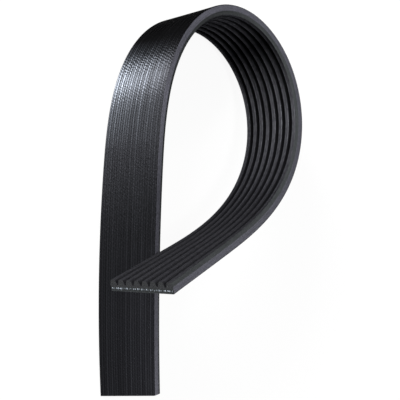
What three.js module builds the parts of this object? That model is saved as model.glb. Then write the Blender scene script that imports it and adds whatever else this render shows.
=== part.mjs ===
import * as THREE from "three";

// Lengths are in millimetres and angles in degrees.

// Section across the belt. x runs from its lower side to its upper side and y from its back to its ribs.
// y is 0 on the line of the tensile cords, which keeps its length in every bend.
const RIBS = 8;
const RIB_PITCH = 3.56;
const GROOVE_ANGLE = 40;
const TIP_WIDTH = 1.7;
const CORDS_TO_BACK = 1.1;
const CORDS_TO_TIPS = 3.25;
const SIDE_TRIM = 0.3;
const TIP_ROUND = 0.3;
const GROOVE_ROUND = 0.8;
const BACK_EDGE_ROUND = 0.3;

// Course of the belt from its foot to its tail, as the length of each stretch. The foot is nearly straight,
// then the belt tightens into the loop, goes round, opens again and runs out straight to the tail.
const FOOT_STRETCH = 91.5;
const TIGHTENING_STRETCH = 83;
const LOOP_STRETCH = 46;
const OPENING_STRETCH = 116;
const TAIL_STRETCH = 31;

// Radius of the bend at the cords, which changes evenly in curvature from one stretch's end to the next
const FOOT_RADIUS = 650;
const LOOP_START_RADIUS = 30.5;
const LOOP_END_RADIUS = 38;

// Twist about the belt's own line over each twist span of it, which changes evenly as well
const TWIST_SPAN = 100;
const FOOT_TWIST = -6;
const TIGHTENING_TWIST = 8.5;
const LOOP_START_TWIST = 24;
const LOOP_END_TWIST = 8.5;
const TAIL_TWIST = 12.5;

// How far the foot's cut is off square. The tail's cut is square.
const FOOT_CUT_LEAN = 8.5;

// The belt lies on its lower side, on the corner of its foot and the start of its loop. Its foot leans over
// towards the loop and rises from the cut.
const REST_LEAN = 11.3;
const REST_RISE = 2.3;

// Fineness of the course and of the faces
const COURSE_STEPS = 400;
const LONGEST_FACET = 16;
const FACET_TURN = 8;
const CORNER_FACETS = 2;

const { clamp, degToRad, lerp } = THREE.MathUtils;

const flankSlope = Math.tan(degToRad(GROOVE_ANGLE / 2));
const halfWidth = (RIBS * RIB_PITCH) / 2 - SIDE_TRIM;

// Draws a line up to a corner and rounds it off, from the point before it to the point after it
function roundCorner(outline, before, corner, after) {
  outline.lineTo(...before);
  outline.quadraticCurveTo(...corner, ...after);
}

function roundRib(outline, middle) {
  const run = TIP_ROUND * flankSlope;
  const low = middle - TIP_WIDTH / 2;
  const high = middle + TIP_WIDTH / 2;
  const tip = CORDS_TO_TIPS;
  roundCorner(outline, [low - run, tip - TIP_ROUND], [low, tip], [low + TIP_ROUND, tip]);
  roundCorner(outline, [high - TIP_ROUND, tip], [high, tip], [high + run, tip - TIP_ROUND]);
}

function roundGroove(outline, middle) {
  const apex = CORDS_TO_TIPS - (RIB_PITCH - TIP_WIDTH) / 2 / flankSlope;
  const run = GROOVE_ROUND * flankSlope;
  const floor = apex + GROOVE_ROUND;
  roundCorner(outline, [middle - run, floor], [middle, apex], [middle + run, floor]);
}

// Where the flank of an outer rib meets the side
function sideFoot() {
  const outerRib = ((RIBS - 1) * RIB_PITCH) / 2;
  return CORDS_TO_TIPS - (halfWidth - outerRib - TIP_WIDTH / 2) / flankSlope;
}

function section() {
  const outline = new THREE.Shape();
  outline.moveTo(-halfWidth, sideFoot());
  for (let rib = 0; rib < RIBS; rib += 1) {
    const middle = (rib - (RIBS - 1) / 2) * RIB_PITCH;
    roundRib(outline, middle);
    if (rib < RIBS - 1) roundGroove(outline, middle + RIB_PITCH / 2);
  }
  outline.lineTo(halfWidth, sideFoot());
  const back = -CORDS_TO_BACK;
  const sideEnd = back + BACK_EDGE_ROUND;
  const backEnd = halfWidth - BACK_EDGE_ROUND;
  roundCorner(outline, [halfWidth, sideEnd], [halfWidth, back], [backEnd, back]);
  roundCorner(outline, [-backEnd, back], [-halfWidth, back], [-halfWidth, sideEnd]);
  outline.closePath();
  return outline;
}

// Ends of the stretches, with the bend (1 / radius) and the twist for each millimetre there
function stations() {
  const list = [{ at: 0, bend: 1 / FOOT_RADIUS, twist: degToRad(FOOT_TWIST) / TWIST_SPAN }];
  const add = (stretch, bend, twist) => {
    list.push({ at: list.at(-1).at + stretch, bend, twist: degToRad(twist) / TWIST_SPAN });
  };
  add(FOOT_STRETCH, 1 / FOOT_RADIUS, TIGHTENING_TWIST);
  add(TIGHTENING_STRETCH, 1 / LOOP_START_RADIUS, LOOP_START_TWIST);
  add(LOOP_STRETCH, 1 / LOOP_END_RADIUS, LOOP_END_TWIST);
  add(OPENING_STRETCH, 0, TAIL_TWIST);
  add(TAIL_STRETCH, 0, TAIL_TWIST);
  return list;
}

const STATIONS = stations();
const BELT_LENGTH = STATIONS.at(-1).at;
const COURSE_STEP = BELT_LENGTH / COURSE_STEPS;

// Bend and twist at a distance along the belt, between the two stations around it
function shapeAt(distance) {
  const next = Math.max(STATIONS.findIndex(({ at }) => at >= distance), 1);
  const from = STATIONS[next - 1];
  const to = STATIONS[next];
  const share = (distance - from.at) / (to.at - from.at);
  return { bend: lerp(from.bend, to.bend, share), twist: lerp(from.twist, to.twist, share) };
}

// The turn that a step makes from its start, as a whole or up to a share of it. Bending turns the section
// about its x, so that the belt curves towards its ribs, and twist turns it about the belt's own line.
function stepTurn(step, share) {
  const { bend, twist } = shapeAt((step + 0.5) * COURSE_STEP);
  const axis = new THREE.Vector3(-bend, 0, -twist);
  const angle = axis.length() * COURSE_STEP * share;
  return new THREE.Quaternion().setFromAxisAngle(axis.normalize(), angle);
}

// The course as the place and the turn at the start of each step, and at the last one's end. A turn carries
// the section's x and y, and z along the belt, into space. At the foot they point up, ahead and to the side.
function layCourse() {
  const up = new THREE.Vector3(0, 0, 1);
  const side = new THREE.Vector3(1, 0, 0);
  const ahead = new THREE.Vector3(0, 1, 0);
  const turn = new THREE.Quaternion().setFromRotationMatrix(new THREE.Matrix4().makeBasis(up, side, ahead));
  const place = new THREE.Vector3();
  const course = [{ place: place.clone(), turn: turn.clone() }];
  for (let step = 0; step < COURSE_STEPS; step += 1) {
    const halfway = turn.clone().multiply(stepTurn(step, 0.5));
    place.add(new THREE.Vector3(0, 0, COURSE_STEP).applyQuaternion(halfway));
    turn.multiply(stepTurn(step, 1));
    course.push({ place: place.clone(), turn: turn.clone() });
  }
  return course;
}

// Moves a point of the section (x, y) to where it lies at a distance along the course
function carry(course, distance, point) {
  const step = clamp(Math.floor(distance / COURSE_STEP), 0, COURSE_STEPS - 1);
  const share = distance / COURSE_STEP - step;
  const turn = course[step].turn.clone().slerp(course[step + 1].turn, share);
  const place = course[step].place.clone().lerp(course[step + 1].place, share);
  return point.setZ(0).applyQuaternion(turn).add(place);
}

// The course steps at which facets begin and end, closest where the belt bends most
function facetEdges() {
  const load = [0];
  for (let step = 0; step < COURSE_STEPS; step += 1) {
    const turn = shapeAt((step + 0.5) * COURSE_STEP).bend / degToRad(FACET_TURN);
    load.push(load.at(-1) + (1 / LONGEST_FACET + turn) * COURSE_STEP);
  }
  const facets = Math.ceil(load.at(-1));
  const edges = [];
  for (let edge = 0; edge < facets; edge += 1) {
    edges.push(load.findIndex((value) => value >= (load.at(-1) * edge) / facets));
  }
  return [...edges, COURSE_STEPS];
}

// The belt as a straight strip between its two cuts, carried round its course
function beltGeometry() {
  const course = layCourse();
  const edges = facetEdges();
  const facets = edges.length - 1;
  const options = { depth: 1, steps: facets, bevelEnabled: false, curveSegments: CORNER_FACETS };
  const geometry = new THREE.ExtrudeGeometry(section(), options);
  const points = geometry.attributes.position;
  const point = new THREE.Vector3();
  for (let index = 0; index < points.count; index += 1) {
    point.fromBufferAttribute(points, index);
    const share = edges[Math.round(point.z * facets)] / COURSE_STEPS;
    const cut = (halfWidth + point.x) * Math.tan(degToRad(FOOT_CUT_LEAN));
    carry(course, lerp(cut, BELT_LENGTH, share), point);
    points.setXYZ(index, point.x, point.y, point.z);
  }
  geometry.computeVertexNormals();
  return geometry;
}

function rubber() {
  return new THREE.MeshStandardMaterial({ color: 0x26262a, roughness: 0.55, metalness: 0 });
}

// The belt at rest, with its lowest point at z = 0 and its middle over the origin
function restingBelt() {
  const mesh = new THREE.Mesh(beltGeometry(), rubber());
  mesh.name = "belt";
  mesh.rotation.set(degToRad(REST_RISE), degToRad(REST_LEAN), 0);
  const box = new THREE.Box3().setFromObject(mesh, true);
  const middle = box.getCenter(new THREE.Vector3());
  mesh.position.set(-middle.x, -middle.y, -box.min.z);
  return mesh;
}

const model = new THREE.Group();
model.name = "serpentine_belt";
model.add(restingBelt());

export default model;
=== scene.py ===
import math
from itertools import accumulate

import bpy
import numpy as np
from mathutils import Matrix, Vector


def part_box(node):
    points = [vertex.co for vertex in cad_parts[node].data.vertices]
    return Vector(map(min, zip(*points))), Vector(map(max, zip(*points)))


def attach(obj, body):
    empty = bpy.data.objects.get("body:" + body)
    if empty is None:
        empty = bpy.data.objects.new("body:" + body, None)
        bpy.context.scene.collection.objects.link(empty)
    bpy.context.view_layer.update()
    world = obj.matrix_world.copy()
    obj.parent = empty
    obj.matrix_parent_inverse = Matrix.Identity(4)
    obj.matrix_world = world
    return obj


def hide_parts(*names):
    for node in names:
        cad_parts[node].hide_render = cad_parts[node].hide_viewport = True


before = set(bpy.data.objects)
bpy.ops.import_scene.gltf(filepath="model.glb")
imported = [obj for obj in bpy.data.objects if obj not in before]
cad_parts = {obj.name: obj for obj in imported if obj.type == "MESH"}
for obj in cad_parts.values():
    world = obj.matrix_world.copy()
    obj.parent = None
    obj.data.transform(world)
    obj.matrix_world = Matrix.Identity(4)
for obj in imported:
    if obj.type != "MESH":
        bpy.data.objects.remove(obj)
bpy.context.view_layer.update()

# The belt's section and course are those of the part's source. Lengths are in millimetres and
# angles in degrees.
MM = 0.001

RIBS = 8
RIB_PITCH = 3.56
GROOVE_ANGLE = 40
FLANK_SLOPE = math.tan(math.radians(GROOVE_ANGLE / 2))
TIP_WIDTH = 1.7
CORDS_TO_BACK = 1.1
CORDS_TO_TIPS = 3.25
SIDE_TRIM = 0.3
HALF_WIDTH = RIBS * RIB_PITCH / 2 - SIDE_TRIM
OUTER_FLANK = (RIBS - 1) * RIB_PITCH / 2 + TIP_WIDTH / 2
SIDE_FOOT = CORDS_TO_TIPS - (HALF_WIDTH - OUTER_FLANK) / FLANK_SLOPE
TIP_ROUND = 0.3
GROOVE_ROUND = 0.8
BACK_EDGE_ROUND = 0.3

# The course as the length of each stretch, with the bend (1 / radius) and the twist (degrees for
# each millimetre) at the stretches' ends
STRETCHES = (91.5, 83, 46, 116, 31)
BENDS = (1 / 650, 1 / 650, 1 / 30.5, 1 / 38, 0, 0)
TWISTS = (-0.06, 0.085, 0.24, 0.085, 0.125, 0.125)
FOOT_CUT_LEAN = 8.5
FOOT_CUT_SLOPE = math.tan(math.radians(FOOT_CUT_LEAN))
REST_LEAN = 11.3
REST_RISE = 2.3
COURSE_STEPS = 400

STATIONS = np.concatenate([[0.0], np.cumsum(STRETCHES)])
BELT_LENGTH = STATIONS[-1]


# Course of the belt


def turning(vectors):
    """Turns as matrices, by Rodrigues' formula: identity + sin(a) K + (1 - cos(a)) K K.
    a is a vector's length and K the matrix that crosses with its direction."""
    angle = np.linalg.norm(vectors, axis=1)
    x, y, z = (vectors / np.maximum(angle, 1e-12)[:, None]).T
    zero = np.zeros_like(x)
    cross = np.stack([zero, -z, y, z, zero, -x, -y, x, zero], 1).reshape(-1, 3, 3)
    angle = angle[:, None, None]
    return np.eye(3) + np.sin(angle) * cross + (1 - np.cos(angle)) * (cross @ cross)


def lay_course():
    """Places and frames along the belt. Each step's frame is the last one's, turned about the
    section's x by the bend and about the belt's own line by the twist, and each place is one step
    on along the frame halfway."""
    step = BELT_LENGTH / COURSE_STEPS
    middle = (np.arange(COURSE_STEPS) + 0.5) * step
    bend = np.interp(middle, STATIONS, BENDS)
    twist = np.radians(np.interp(middle, STATIONS, TWISTS))
    turn = np.stack([-bend, np.zeros_like(bend), -twist], 1) * step
    start = np.array([[0.0, 1.0, 0.0], [0.0, 0.0, 1.0], [1.0, 0.0, 0.0]])
    frames = np.array(list(accumulate(turning(turn), np.matmul, initial=start)))
    halfway = frames[:-1] @ turning(turn / 2)
    places = np.cumsum(np.vstack([np.zeros(3), halfway[:, :, 2] * step]), axis=0)
    return places, frames


PLACES, FRAMES = lay_course()


def at_distance(values, distance):
    """Values along the course at each distance, between the two course steps around it."""
    place = np.clip(distance / BELT_LENGTH * COURSE_STEPS, 0, COURSE_STEPS)
    step = np.minimum(place.astype(int), COURSE_STEPS - 1)
    share = (place - step).reshape(place.shape + (1,) * (values.ndim - 1))
    return values[step] * (1 - share) + values[step + 1] * share


# How the belt lies: turned about Y by its lean, then about X by its rise
REST_TURN = np.array(
    Matrix.Rotation(math.radians(REST_RISE), 3, "X")
    @ Matrix.Rotation(math.radians(REST_LEAN), 3, "Y")
)


def carry(run):
    """Points of the bent and turned belt for run = (s, x, y): place(s) + x * frame's x +
    y * frame's y."""
    frames = at_distance(FRAMES, run[..., 0])
    shift = run[..., 1, None] * frames[..., 0] + run[..., 2, None] * frames[..., 1]
    return (at_distance(PLACES, run[..., 0]) + shift) @ REST_TURN.T


def directions(run, axis):
    """The section's x (0), y (1) or the belt's own direction (2) at each point, as it lies."""
    return at_distance(FRAMES, run[..., 0])[..., axis] @ REST_TURN.T


def foot_cut(across):
    """Distance of the foot's cut, which leans: s = (half width + x) * slope."""
    return (HALF_WIDTH + across) * FOOT_CUT_SLOPE


# Section of the belt

TIP_POINTS = 6
GROOVE_POINTS = 9
EDGE_POINTS = 6
FLANK_SHARES = np.array([[0.12], [0.5], [0.88]])


def corner(before, sharp, after, count):
    """Rounded corner: (1 - t)² before + 2 t (1 - t) sharp + t² after."""
    t = np.linspace(0, 1, count)[:, None]
    before, sharp, after = map(np.array, (before, sharp, after))
    return (1 - t) ** 2 * before + 2 * t * (1 - t) * sharp + t**2 * after


def rib_outline():
    """Half of one rib from its middle to the middle of the groove, mirrored and repeated for
    every rib."""
    half_tip = TIP_WIDTH / 2
    half_pitch = RIB_PITCH / 2
    apex = CORDS_TO_TIPS - (half_pitch - half_tip) / FLANK_SLOPE
    tip_run, groove_run = TIP_ROUND * FLANK_SLOPE, GROOVE_ROUND * FLANK_SLOPE
    tip = corner(
        (half_tip - TIP_ROUND, CORDS_TO_TIPS),
        (half_tip, CORDS_TO_TIPS),
        (half_tip + tip_run, CORDS_TO_TIPS - TIP_ROUND),
        TIP_POINTS,
    )
    groove = corner(
        (half_pitch - groove_run, apex + GROOVE_ROUND),
        (half_pitch, apex),
        (half_pitch + groove_run, apex + GROOVE_ROUND),
        GROOVE_POINTS,
    )
    groove = groove[: GROOVE_POINTS // 2 + 1]
    flank = tip[-1] + (groove[0] - tip[-1]) * FLANK_SHARES
    half = np.vstack([tip, flank, groove])
    whole = np.vstack([half[::-1] * (-1, 1), (0, CORDS_TO_TIPS), half])
    middles = (np.arange(RIBS) - (RIBS - 1) / 2) * RIB_PITCH
    return (middles[:, None] + whole[:, 0]).ravel(), np.tile(whole[:, 1], RIBS)


def section_columns():
    """Columns across the belt, each with the back's and the ribs' height above the cords. The
    back's edge is a quarter circle: height = radius - sqrt(radius² - overhang²)."""
    rib_x, rib_y = rib_outline()
    quarter = np.sin(np.linspace(0, math.pi / 2, EDGE_POINTS))
    edge = HALF_WIDTH - BACK_EDGE_ROUND * (1 - quarter)
    x = np.concatenate([rib_x[np.abs(rib_x) < HALF_WIDTH], edge, -edge])
    x = np.unique(x.round(4))
    overhang = np.maximum(np.abs(x) - (HALF_WIDTH - BACK_EDGE_ROUND), 0)
    rise = BACK_EDGE_ROUND - np.sqrt(np.maximum(BACK_EDGE_ROUND**2 - overhang**2, 0))
    return x, -CORDS_TO_BACK + rise, np.interp(x, rib_x, rib_y)


def section_grid(rows):
    """Grid over the section: x from the columns, y = back + (ribs - back) * row's share."""
    x, back, ribs = section_columns()
    y = back[:, None] + (ribs - back)[:, None] * np.linspace(0, 1, rows)
    return np.broadcast_to(x[:, None], y.shape), y


def rim(grid):
    """The grid's values once round its rim: along the back, up a side, along the ribs and down
    the other side."""
    return np.concatenate([grid[:, 0], grid[-1, 1:-1], grid[::-1, -1], grid[0, -2:0:-1]])


# Meshes

SHARP_ANGLE = 40


def quads(index):
    """The four corners of each cell of a grid of vertex numbers."""
    cells = np.stack([index[:-1, :-1], index[1:, :-1], index[1:, 1:], index[:-1, 1:]], -1)
    return cells.reshape(-1, 4)


def make_piece(name, points, faces, finishes, face_finish):
    """An object that rides on the root. Its mesh holds points (mm) and faces, each with its
    finish's number."""
    mesh = bpy.data.meshes.new(name)
    mesh.from_pydata(points * MM, [], [face for group in faces for face in group.tolist()])
    for finish in finishes:
        mesh.materials.append(finish)
    mesh.polygons.foreach_set("material_index", face_finish.astype(np.int32))
    mesh.polygons.foreach_set("use_smooth", np.ones(len(mesh.polygons), bool))
    mesh.set_sharp_from_angle(angle=math.radians(SHARP_ANGLE))
    piece = bpy.data.objects.new(name, mesh)
    bpy.context.scene.collection.objects.link(piece)
    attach(piece, "root")
    return piece


def store(piece, name, vectors):
    """Keeps one vector for each vertex of a piece, for its materials to read."""
    layer = piece.data.attributes.new(name, "FLOAT_VECTOR", "POINT")
    layer.data.foreach_set("vector", np.asarray(vectors, np.float32).ravel())


BODY_STEPS = 200
BODY_ROWS = 7
TIP_CORNER = 0.06
BACK, SIDE, RIBBED, CUT = range(4)


def body_run(x, y):
    """(s, x, y) of each vertex: the section's rim at every step from the foot's cut to the tail,
    s = foot + (length - foot) * share, then the grid's inner points at both cuts."""
    rim_x, rim_y = rim(x), rim(y)
    foot = foot_cut(rim_x)
    distance = foot + (BELT_LENGTH - foot) * np.linspace(0, 1, BODY_STEPS + 1)[:, None]
    wall = np.stack(np.broadcast_arrays(distance, rim_x, rim_y), -1).reshape(-1, 3)
    inner_x, inner_y = x[1:-1, 1:-1].ravel(), y[1:-1, 1:-1].ravel()
    at_foot = np.stack([foot_cut(inner_x), inner_x, inner_y], -1)
    at_tail = np.stack([np.full_like(inner_x, BELT_LENGTH), inner_x, inner_y], -1)
    return np.vstack([wall, at_foot, at_tail])


def cap_index(shape, outline, first_inner):
    """Vertex numbers over a cut's grid: its rim is an end of the wall, and its inner points
    follow in order."""
    columns, rows = shape
    cap = np.empty(shape, int)
    up, over, down = columns, columns + rows - 2, 2 * columns + rows - 2
    cap[:, 0] = outline[:up]
    cap[-1, 1:-1] = outline[up:over]
    cap[::-1, -1] = outline[over:down]
    cap[0, -2:0:-1] = outline[down:]
    inner = first_inner + np.arange((columns - 2) * (rows - 2))
    cap[1:-1, 1:-1] = inner.reshape(columns - 2, rows - 2)
    return cap


def rim_finishes(x):
    """Finish of each strip of the wall, by the rim's edge that it grows from. The back's rounded
    edges belong to the back, and the outer ribs' outer flanks to the sides."""
    columns, rows = x.shape
    middle = (rim(x) + np.roll(rim(x), -1)) / 2
    finish = np.full(len(middle), SIDE)
    finish[: columns - 1] = BACK
    finish[columns + rows - 2 : 2 * columns + rows - 3] = RIBBED
    finish[(finish == RIBBED) & (np.abs(middle) > OUTER_FLANK + TIP_CORNER)] = SIDE
    return finish


def belt_body(finishes):
    """The belt's outside: the section's rim carried along the course, and closed by its grid at
    both cuts. It lies where the CAD belt does. Returns the shift that took it there."""
    x, y = section_grid(BODY_ROWS)
    run = body_run(x, y)
    points = carry(run)
    low, high = (np.array(end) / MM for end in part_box("belt"))
    shift = (low + high) / 2 - (points.min(0) + points.max(0)) / 2
    shift[2] = low[2] - points[:, 2].min()

    count = len(rim(x))
    wall = np.arange((BODY_STEPS + 1) * count).reshape(-1, count)
    inner = (x.shape[0] - 2) * (x.shape[1] - 2)
    foot = quads(cap_index(x.shape, wall[0], wall.size))[:, ::-1]
    tail = quads(cap_index(x.shape, wall[-1], wall.size + inner))
    walls = quads(np.hstack([wall, wall[:, :1]]))
    wall_finish = np.tile(rim_finishes(x), BODY_STEPS)
    finish = np.concatenate([wall_finish, np.full(len(foot) + len(tail), CUT)])

    body = make_piece("belt_body", points + shift, [walls, foot, tail], finishes, finish)
    store(body, "run", run)
    store(body, "across", directions(run, 0))
    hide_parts("belt")
    return shift


# Cord ends. The real cords lie 0.95 mm apart, some of them closer as pairs. Each end stands a
# little proud of the cut, and its foot is sunk, so that no gap shows.
CORD_PITCH = 0.95
CORD_PAIRING = 0.07
CORD_DIAMETER = 0.66
CORD_MARGIN = 0.5
CORD_STRAY, LARGEST_STRAY = 0.05, 0.1
CORD_STANDS = 0.1
CORD_SINKS = 0.25
CORD_SIDES = 12
CORD_RINGS = 4
CORD_SEED = 7


def cord_dome():
    """One cord end round its pole: radius sin(v) and height cos(v) for v up to 90 degrees, then a
    sunk foot. The rings are closed by a point at the top and one below."""
    polar = np.linspace(0, math.pi / 2, CORD_RINGS + 1)[1:]
    radius = np.repeat(np.append(np.sin(polar), 1.0), CORD_SIDES)
    height = np.repeat(np.append(np.cos(polar) * CORD_STANDS, -CORD_SINKS), CORD_SIDES)
    turn = np.linspace(0, 2 * math.pi, CORD_SIDES, endpoint=False)
    angle = np.append(np.tile(turn, CORD_RINGS + 1), (0, 0))
    radius = np.append(radius, (0, 0))
    height = np.append(height, (CORD_STANDS, -CORD_SINKS))
    pole, under = len(angle) - 2, len(angle) - 1
    rings = np.arange(pole).reshape(-1, CORD_SIDES)
    rings = np.hstack([rings, rings[:, :1]])
    top = np.stack([rings[0, :-1], rings[0, 1:], np.full(CORD_SIDES, pole)], -1)
    foot = np.stack([rings[-1, 1:], rings[-1, :-1], np.full(CORD_SIDES, under)], -1)
    return radius, angle, height, quads(rings)[:, ::-1], np.vstack([top, foot])


def cord_ends(finish, shift):
    """The cut cords on both ends: domes in a row along the cord line, whose outline wavers as
    1 + 0.12 sin(2 a + p) + 0.07 sin(3 a + q)."""
    random = np.random.default_rng(CORD_SEED)
    radius, angle, height, walls, caps = cord_dome()
    count = int(2 * (HALF_WIDTH - CORD_MARGIN) / CORD_PITCH) + 1
    order = np.arange(count)
    middles = (order - (count - 1) / 2) * CORD_PITCH + CORD_PAIRING * (-1) ** order
    runs, stands, faces, shades = [], [], [], []
    for end in range(2):
        stray = random.normal(0, CORD_STRAY, (count, 2, 1)).clip(-LARGEST_STRAY, LARGEST_STRAY)
        phase = random.uniform(0, 2 * math.pi, (count, 2, 1))
        size = random.uniform(0.75, 1.1, (count, 1)) * CORD_DIAMETER / 2
        waver = 0.12 * np.sin(2 * angle + phase[:, 0]) + 0.07 * np.sin(3 * angle + phase[:, 1])
        reach = size * (1 + waver) * radius
        x = middles[:, None] + stray[:, 0] + reach * np.cos(angle)
        y = stray[:, 1] + reach * np.sin(angle)
        distance = np.full_like(x, BELT_LENGTH) if end else foot_cut(x)
        runs.append(np.stack([distance, x, y], -1).reshape(-1, 3))
        stands.append(np.tile(height if end else -height, count))
        shades.append(np.repeat(random.uniform(0, 1, count), len(height)))
        first = (end * count + order)[:, None, None] * len(height)
        way = 1 if end else -1
        faces += [(first + group[:, ::way]).reshape(-1, group.shape[1]) for group in (walls, caps)]
    run = np.vstack(runs)
    points = carry(run) + np.concatenate(stands)[:, None] * directions(run, 2)
    one_finish = np.zeros(sum(len(group) for group in faces))
    piece = make_piece("cord_ends", points + shift, faces, [finish], one_finish)
    store(piece, "shade", np.repeat(np.concatenate(shades), 3))


# Materials. Black rubber shows almost only its gloss. On the back and the ribs the colour is
# therefore the gloss's own (metallic, with a dark tint at a flat glance), and hardly any is
# diffuse. The knife-cut side and the sheared end scatter light, as roughened rubber does.

MATH, RANGE, MIX = "ShaderNodeMath", "ShaderNodeMapRange", "ShaderNodeMix"
SURFACE, OUTPUT = "ShaderNodeBsdfPrincipled", "ShaderNodeOutputMaterial"
DARK_EDGE = (0.2, 0.2, 0.2, 1)

# Grains of the patterns along, across and outward. A pixel of the photo's view is 0.4 mm wide.
# The real fibres (0.02 mm) and grinding lines (0.1 mm) are finer than that, so all grains are
# drawn as coarse as they need to show.
KNIT_SWAY = (3, 2.5, 4)
KNIT_FIBRES = (0.9, 0.6, 4)
KNIT_STREAKS = (50, 1.5, 4)
SIDE_GRAIN = (0.9, 0.6, 0.45)
KNIFE_DRAG = (14, 2, 0.3)
RIB_FIBRES = (1.6, 0.5, 0.5)
GRINDING_LINES = (30, 0.3, 0.3)
SHEARED_GRAIN = (0.5, 0.5, 0.5)
FRAYED_GRAIN = 0.15
GRAIN_SPREAD = (0.36, 0.64)

# The knit's lines of loops lie 1.22 mm apart, and its loops are 1.2 mm long
WALE_PITCH = 1.22
WALE_START = 0.1
LOOP_PITCH = 1.2

# Where a finish, a painted light or a painted shade comes up, or goes away again, along the belt
# from its foot. The knit's and the side's paler places are painted light, the knit's bright
# place on the bend is a painted highlight, and the knit's darker end, the flanks' darker
# stretch and the loop's crown are painted shade.
KNIT_PAINTED_LIGHT = (66, 36)
HIGHLIGHT_COMES, HIGHLIGHT_GOES = (98, 126), (146, 134)
LOOPS_STAND = (104, 134)
KNIT_PAINTED_SHADE = (134, 148)
SIDE_PAINTED_LIGHT_FOOT, SIDE_PAINTED_LIGHT_TAIL = (80, 30), (270, 340)
SIDE_PAINTED_LIGHT_COMES, SIDE_PAINTED_LIGHT_GOES = (82, 98), (140, 122)
LOOP_CROWN, CROWN_SHADE_REACH = 205, 22
FLANK_SHADE_ENDS = (240, 275)
TIP_LIGHT_EVENS = (285, 320)

# Painted light on each rib's tip, as shares of the way from one groove's middle to the next
TIP_LIGHT_COMES, TIP_LIGHT_GOES = (0.18, 0.3), (0.36, 0.85)

# Heights of the layers above the cords
BACKING_TOP = (-0.85, -0.7)
CUSHION_TOP = (0.45, 0.8)


def linear(srgb_hex):
    """Linear colour of an sRGB hex value."""
    parts = (int(srgb_hex[i : i + 2], 16) / 255 for i in (1, 3, 5))
    return tuple(c / 12.92 if c <= 0.04045 else ((c + 0.055) / 1.055) ** 2.4 for c in parts) + (1,)


def add(tree, kind, inputs=(), **settings):
    """Adds a node of a kind and sets it up. Its inputs, by name or in their order, take a value,
    a hex colour or a link from a socket. Returns its first output."""
    node = tree.nodes.new(kind)
    for name, value in settings.items():
        setattr(node, name, value)
    named = isinstance(inputs, dict)
    sockets = node.inputs if named else [socket for socket in node.inputs if socket.enabled]
    for key, value in inputs.items() if named else enumerate(inputs):
        if isinstance(value, bpy.types.NodeSocket):
            tree.links.new(value, sockets[key])
        else:
            sockets[key].default_value = linear(value) if isinstance(value, str) else value
    return next((socket for socket in node.outputs if socket.enabled), None)


def new_material(name):
    """A material without nodes, and its tree."""
    material = bpy.data.materials.new(name)
    material.use_nodes = True
    material.node_tree.nodes.clear()
    return material, material.node_tree


def run_of(tree):
    """The unbent belt's coordinates in mm, whole and as along, across and outward."""
    run = add(tree, "ShaderNodeAttribute", attribute_name="run").node.outputs["Vector"]
    parts = add(tree, "ShaderNodeSeparateXYZ", (run,)).node.outputs
    return run, *parts


def stretched_noise(tree, run, sizes, detail):
    """Noise over the unbent belt, whose grains measure sizes (mm) along, across and outward."""
    counts = [1 / size for size in sizes]
    scaled = add(tree, "ShaderNodeVectorMath", (run, counts), operation="MULTIPLY")
    return add(tree, "ShaderNodeTexNoise", (scaled, 1.0, detail))


def wave(tree, turns):
    """A wave that is 1 at each whole number and 0 halfway: 0.5 + 0.5 cos(2 pi turns)."""
    angle = add(tree, MATH, (turns, 2 * math.pi), operation="MULTIPLY")
    height = add(tree, MATH, (angle,), operation="COSINE")
    return add(tree, MATH, (height, 0.5, 0.5), operation="MULTIPLY_ADD")


def weighted(tree, *shares):
    """Sum of values times their weights, from pairs of a value and its weight."""
    total = 0.0
    for value, weight in shares:
        total = add(tree, MATH, (value, weight, total), operation="MULTIPLY_ADD")
    return total


def knit_lines(tree, across):
    """Lines of the knit, as the place across counted in lines and each line's height from 0 to 1:
    every second one is raised more, and each by a chance of its own."""
    start = -WALE_START / WALE_PITCH
    wale = add(tree, MATH, (across, 1 / WALE_PITCH, start), operation="MULTIPLY_ADD")
    pairs = wave(tree, add(tree, MATH, (wale, 0.5), operation="MULTIPLY"))
    number = add(tree, MATH, (wale,), operation="ROUND")
    chance = add(tree, "ShaderNodeTexWhiteNoise", (number,), noise_dimensions="1D")
    raised = weighted(tree, (pairs, 0.45), (chance, 0.55))
    raised = add(tree, RANGE, (raised, 0.1, 0.9, 0.35, 1))
    return wale, add(tree, MATH, (wave(tree, wale), raised), operation="MULTIPLY")


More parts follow.
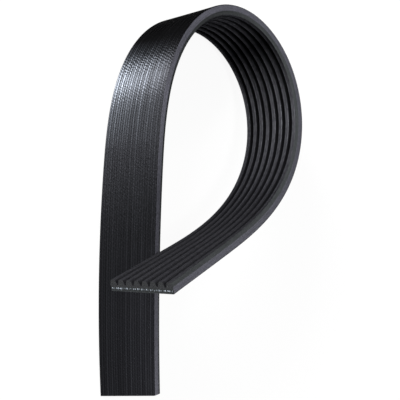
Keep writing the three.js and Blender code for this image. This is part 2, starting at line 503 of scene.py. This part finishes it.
def knit_faced_backing():
    """Chloroprene rubber cured against a knit: fine lines along the belt, every second one more
    raised, made of staggered loops. The lines spread its shine across the belt, and its lower side
    is smoother. Up to the loop its loops are pressed flat. Near the foot painted light makes it
    paler towards its upper side, and on the bend a painted highlight, strongest on its lower
    side, adds to the lamps' own. From there on painted shade makes it darker, and its loops stand."""
    material, tree = new_material("knit_faced_chloroprene")
    run, along, across, _ = run_of(tree)
    wale, line = knit_lines(tree, across)
    sway = stretched_noise(tree, run, KNIT_SWAY, 2)
    loops = wave(tree, weighted(tree, (along, 1 / LOOP_PITCH), (wale, 0.5), (sway, 1.6)))
    fibres = stretched_noise(tree, run, KNIT_FIBRES, 2)
    streaks = stretched_noise(tree, run, KNIT_STREAKS, 1)

    tone = weighted(tree, (line, 0.4), (streaks, 0.5), (loops, 0.1))
    tone = add(tree, RANGE, (tone, 0.1, 0.9))
    # Painted shade: from the loop on, the knit takes the darker colours.
    unshaded_knit = add(tree, MIX, (tone, "#1e1e20", "#38393d"), data_type="RGBA")
    painted_shade_knit = add(tree, MIX, (tone, "#161617", "#29292b"), data_type="RGBA")
    in_painted_shade = add(tree, RANGE, (along, *KNIT_PAINTED_SHADE))
    dull = add(tree, MIX, (in_painted_shade, unshaded_knit, painted_shade_knit), data_type="RGBA")
    # Painted light: near the foot the knit is paler towards its upper side.
    painted_light_colour = add(tree, MIX, (tone, "#2c2c30", "#4a4b51"), data_type="RGBA")
    near_foot = add(tree, RANGE, (along, *KNIT_PAINTED_LIGHT))
    upper_side = add(tree, RANGE, (across, -HALF_WIDTH, HALF_WIDTH))
    in_painted_light = add(tree, MATH, (near_foot, upper_side), operation="MULTIPLY")
    dull = add(tree, MIX, (in_painted_light, dull, painted_light_colour), data_type="RGBA")

    # Painted highlight: on the bend, strongest towards the lower side, a brighter gloss colour adds
    # to the lamps' highlight.
    ridges = add(tree, RANGE, (weighted(tree, (line, 0.75), (streaks, 0.4)), 0.2, 0.85))
    painted_gloss_colour = add(tree, MIX, (ridges, "#1e1f21", "#72777f"), data_type="RGBA")
    lower_side = add(tree, RANGE, (across, HALF_WIDTH, -HALF_WIDTH))
    comes, goes = (add(tree, RANGE, (along, *ends)) for ends in (HIGHLIGHT_COMES, HIGHLIGHT_GOES))
    painted_highlight = add(tree, MATH, (comes, goes), operation="MULTIPLY")
    painted_highlight = add(tree, MATH, (painted_highlight, lower_side), operation="MULTIPLY")

    polish = add(tree, RANGE, (lower_side, 0, 1, 0.52, 0.45))
    standing = add(tree, RANGE, (along, *LOOPS_STAND, 0.15, 1))
    standing = add(tree, MATH, (loops, standing), operation="MULTIPLY")
    height = weighted(tree, (fibres, 2.2), (standing, 0.9), (line, 2.2))
    across_way = add(tree, "ShaderNodeAttribute", attribute_name="across").node.outputs["Vector"]
    surface = {
        "Base Color": add(tree, MIX, (painted_highlight, dull, painted_gloss_colour), data_type="RGBA"),
        "Metallic": 0.95,
        "Roughness": add(tree, MATH, (line, -0.12, polish), operation="MULTIPLY_ADD"),
        "Specular IOR Level": 0.1,
        "Specular Tint": DARK_EDGE,
        "Anisotropic": 1,
        "Tangent": across_way,
        "Normal": add(tree, "ShaderNodeBump", {"Height": height, "Distance": 0.032 * MM}),
    }
    add(tree, OUTPUT, (add(tree, SURFACE, surface),))
    return material


def knife_cut_side():
    """Rubber slit from a wide sleeve by a knife: dull grey, grained, with faint drag lines along
    the belt. Painted light makes it paler near its ends and before the loop. The outer ribs'
    flanks are ground, and darker."""
    material, tree = new_material("knife_cut_rubber")
    run, along, _, outward = run_of(tree)
    grain = stretched_noise(tree, run, SIDE_GRAIN, 3)
    drag = stretched_noise(tree, run, KNIFE_DRAG, 1)
    tone = add(tree, RANGE, (weighted(tree, (drag, 0.4), (grain, 0.6)), *GRAIN_SPREAD))

    cut = add(tree, MIX, (tone, "#333338", "#47474f"), data_type="RGBA")
    # Painted light: the side is paler near its ends and before the loop.
    painted_light_colour = add(tree, MIX, (tone, "#424248", "#575760"), data_type="RGBA")
    ground = add(tree, MIX, (tone, "#232526", "#303233"), data_type="RGBA")
    near_foot = add(tree, RANGE, (along, *SIDE_PAINTED_LIGHT_FOOT))
    near_tail = add(tree, RANGE, (along, *SIDE_PAINTED_LIGHT_TAIL, 0, 0.7))
    near_ends = add(tree, MATH, (near_foot, near_tail), operation="MAXIMUM")
    comes, goes = (add(tree, RANGE, (along, *ends)) for ends in (SIDE_PAINTED_LIGHT_COMES, SIDE_PAINTED_LIGHT_GOES))
    before_loop = add(tree, MATH, (comes, goes), operation="MULTIPLY")
    in_painted_light = add(tree, MATH, (near_ends, before_loop), operation="MAXIMUM")
    colour = add(tree, MIX, (in_painted_light, cut, painted_light_colour), data_type="RGBA")
    flank = add(tree, RANGE, (outward, SIDE_FOOT - 0.1, SIDE_FOOT + 0.15))

    surface = {
        "Base Color": add(tree, MIX, (flank, colour, ground), data_type="RGBA"),
        "Roughness": add(tree, RANGE, (tone, 0, 1, 0.78, 0.6)),
        "Specular IOR Level": 0.1,
        "Normal": add(tree, "ShaderNodeBump", {"Height": tone, "Distance": 0.015 * MM}),
    }
    add(tree, OUTPUT, (add(tree, SURFACE, surface),))
    return material


def ground_ribs():
    """Rib rubber filled with short fibres and ground to shape: satin, mottled by the fibres that
    stand out, with fine lines from the grinding. Painted light makes each tip paler towards one
    side and darker to its flanks, more evenly at the tail. Painted shade darkens the flanks up to
    the loop's far side, and the loop's hollow most of all at its crown."""
    material, tree = new_material("ground_rib_rubber")
    run, along, across, _ = run_of(tree)
    fibres = stretched_noise(tree, run, RIB_FIBRES, 3)
    lines = stretched_noise(tree, run, GRINDING_LINES, 1)
    tone = add(tree, RANGE, (weighted(tree, (lines, 0.4), (fibres, 0.6)), *GRAIN_SPREAD))

    # Painted light and shade: each tip is paler towards one side and darker to its flanks, less so
    # at the tail.
    place = add(tree, MATH, (across, 1 / RIB_PITCH), operation="MULTIPLY")
    place = add(tree, MATH, (place,), operation="FRACT")
    comes = add(tree, RANGE, (place, *TIP_LIGHT_COMES))
    goes = add(tree, RANGE, (place, *TIP_LIGHT_GOES, 1, 0))
    painted_tip_light = add(tree, MATH, (comes, goes), operation="MULTIPLY")
    painted_tip_light = add(tree, MIX, (add(tree, RANGE, (along, *TIP_LIGHT_EVENS)), painted_tip_light, 0.75))

    # Painted shade: the flanks are darker up to the loop's far side.
    flank_painted_shade = add(tree, MIX, (tone, "#131314", "#1c1d1f"), data_type="RGBA")
    bare = add(tree, MIX, (tone, "#212124", "#2e2e32"), data_type="RGBA")
    past_flank_shade = add(tree, RANGE, (along, *FLANK_SHADE_ENDS))
    flank = add(tree, MIX, (past_flank_shade, flank_painted_shade, bare), data_type="RGBA")
    tip = add(tree, MIX, (tone, "#353539", "#58585d"), data_type="RGBA")
    colour = add(tree, MIX, (painted_tip_light, flank, tip), data_type="RGBA")
    # Painted shade: the loop's hollow is darker towards its crown.
    from_crown = add(tree, MATH, (along, LOOP_CROWN), operation="SUBTRACT")
    from_crown = add(tree, MATH, (from_crown,), operation="ABSOLUTE")
    crown_unshaded = add(tree, RANGE, (from_crown, 0, CROWN_SHADE_REACH, 0.3, 1))

    surface = {
        "Base Color": add(tree, MIX, (crown_unshaded, "#000000", colour), data_type="RGBA"),
        "Metallic": 1,
        "Roughness": add(tree, RANGE, (tone, 0, 1, 0.58, 0.48)),
        "Specular Tint": DARK_EDGE,
        "Normal": add(tree, "ShaderNodeBump", {"Height": tone, "Distance": 0.035 * MM}),
    }
    add(tree, OUTPUT, (add(tree, SURFACE, surface),))
    return material


def cut_end():
    """Rubber sheared across: matt and dark, grainy grey in the ribs, darker in the cushion round
    the cords, with the backing as a thin line that is a little paler."""
    material, tree = new_material("sheared_rubber")
    run, _, _, outward = run_of(tree)
    tone = add(tree, RANGE, (stretched_noise(tree, run, SHEARED_GRAIN, 3), 0.3, 0.7))
    ribs = add(tree, MIX, (tone, "#111213", "#222325"), data_type="RGBA")
    cushion = add(tree, MIX, (tone, "#101213", "#1a1d1e"), data_type="RGBA")
    backing = add(tree, MIX, (tone, "#17191a", "#232628"), data_type="RGBA")
    above_cushion = add(tree, RANGE, (outward, *CUSHION_TOP))
    above_backing = add(tree, RANGE, (outward, *BACKING_TOP))
    colour = add(tree, MIX, (above_cushion, cushion, ribs), data_type="RGBA")

    surface = {
        "Base Color": add(tree, MIX, (above_backing, backing, colour), data_type="RGBA"),
        "Roughness": 0.8,
        "Specular IOR Level": 0.2,
        "Normal": add(tree, "ShaderNodeBump", {"Height": tone, "Distance": 0.02 * MM}),
    }
    add(tree, OUTPUT, (add(tree, SURFACE, surface),))
    return material


def polyester_cord():
    """Twisted polyester, cut and frayed: matt bluish white, some ends smeared with rubber."""
    material, tree = new_material("cut_polyester_cord")
    shade = add(tree, "ShaderNodeAttribute", attribute_name="shade").node.outputs["Fac"]
    place = add(tree, "ShaderNodeTexCoord").node.outputs["Object"]
    frayed = add(tree, "ShaderNodeTexNoise", (place, 1 / (FRAYED_GRAIN * MM), 2))
    bare = add(tree, RANGE, (weighted(tree, (shade, 1), (frayed, 0.5)), 0.35, 1.15))
    surface = {
        "Base Color": add(tree, MIX, (bare, "#34383c", "#6a7077"), data_type="RGBA"),
        "Roughness": 0.85,
        "Specular IOR Level": 0.3,
    }
    add(tree, OUTPUT, (add(tree, SURFACE, surface),))
    return material


rest_shift = belt_body([knit_faced_backing(), knife_cut_side(), ground_ribs(), cut_end()])
cord_ends(polyester_cord(), rest_shift)


# Floor, light and camera. Lengths from here on are in metres.

FLOOR_REACH = 8.0
FLOOR_WHITE = 0.92
ROOM_LIGHT = 0.12
LAMP_DISTANCE = 1.0
LAMP_TARGET = Vector((0, 0.02, 0.02))

# The camera that was fitted to the belt's edges in the photo, with a 36 mm sensor
CAMERA_PLACE = Vector((-0.287301, 0.027818, 0.34235))
CAMERA_RIGHT = Vector((0.73536, -0.05371, 0.67555))
CAMERA_UP = Vector((0.08522, 0.99627, -0.01354))
CAMERA_LENS = 96.03


def pale_floor():
    """A sheet of white paper that keeps part of the object's shadow. Where the camera, a
    reflection or glass looks at it, it gains a share of plain white."""
    material, tree = new_material("white_paper")
    paper = add(tree, SURFACE, {"Base Color": "#f0f0f0", "Roughness": 0.9})
    white = add(tree, "ShaderNodeEmission", ("#ffffff", 1))
    ray = add(tree, "ShaderNodeLightPath").node.outputs
    looks = add(tree, MATH, (ray["Is Camera Ray"], ray["Is Glossy Ray"]), operation="MAXIMUM")
    looks = add(tree, MATH, (looks, ray["Is Transmission Ray"]), operation="MAXIMUM")
    share = add(tree, MATH, (looks, FLOOR_WHITE), operation="MULTIPLY")
    add(tree, OUTPUT, (add(tree, "ShaderNodeMixShader", (share, paper, white)),))

    x = y = FLOOR_REACH
    mesh = bpy.data.meshes.new("floor")
    mesh.from_pydata([(-x, -y, 0), (x, -y, 0), (x, y, 0), (-x, y, 0)], [], [(0, 1, 2, 3)])
    mesh.materials.append(material)
    floor = bpy.data.objects.new("floor", mesh)
    bpy.context.scene.collection.objects.link(floor)


def pale_room():
    """World that lights evenly and dimly."""
    world = bpy.data.worlds.new("pale_room")
    world.use_nodes = True
    background = world.node_tree.nodes["Background"]
    background.inputs["Color"].default_value = (1, 1, 1, 1)
    background.inputs["Strength"].default_value = ROOM_LIGHT
    bpy.context.scene.world = world


def softbox(name, azimuth, elevation, size, level):
    """A soft lamp, width and height its size. At level 1 it lights a white surface that faces it
    to white."""
    turn, rise = math.radians(azimuth), math.radians(elevation)
    flat = math.cos(rise)
    way = Vector((math.cos(turn) * flat, math.sin(turn) * flat, math.sin(rise)))
    light = bpy.data.lights.new(name, "AREA")
    light.shape = "RECTANGLE"
    light.size, light.size_y = size
    light.energy = level * math.pi**2 * LAMP_DISTANCE**2
    lamp = bpy.data.objects.new(name, light)
    lamp.location = LAMP_TARGET + way * LAMP_DISTANCE
    lamp.rotation_euler = (-way).to_track_quat("-Z", "Y").to_euler()
    bpy.context.scene.collection.objects.link(lamp)


def photo_camera():
    """Camera whose axes are its right, the way up at right angles to it, and the way back."""
    right = CAMERA_RIGHT.normalized()
    back = right.cross(CAMERA_UP).normalized()
    data = bpy.data.cameras.new("camera")
    data.sensor_width = 36
    data.lens = CAMERA_LENS
    data.clip_start, data.clip_end = 0.01, 20
    camera = bpy.data.objects.new("camera", data)
    axes = Matrix((right, back.cross(right), back)).transposed().to_4x4()
    camera.matrix_world = Matrix.Translation(CAMERA_PLACE) @ axes
    bpy.context.scene.collection.objects.link(camera)
    bpy.context.scene.camera = camera


pale_floor()
pale_room()
# The window gives the bright band on the back, and the fill beside it softens the band's fall
softbox("overhead", 100, 80, (0.35, 0.35), 0.5)
softbox("window", 132.5, 17, (0.26, 0.5), 2.5)
softbox("fill", 156, 17, (0.5, 0.4), 0.75)
softbox("far_fill", -60, 25, (0.6, 0.4), 0.7)
photo_camera()
bpy.context.scene.view_settings.view_transform = "Standard"
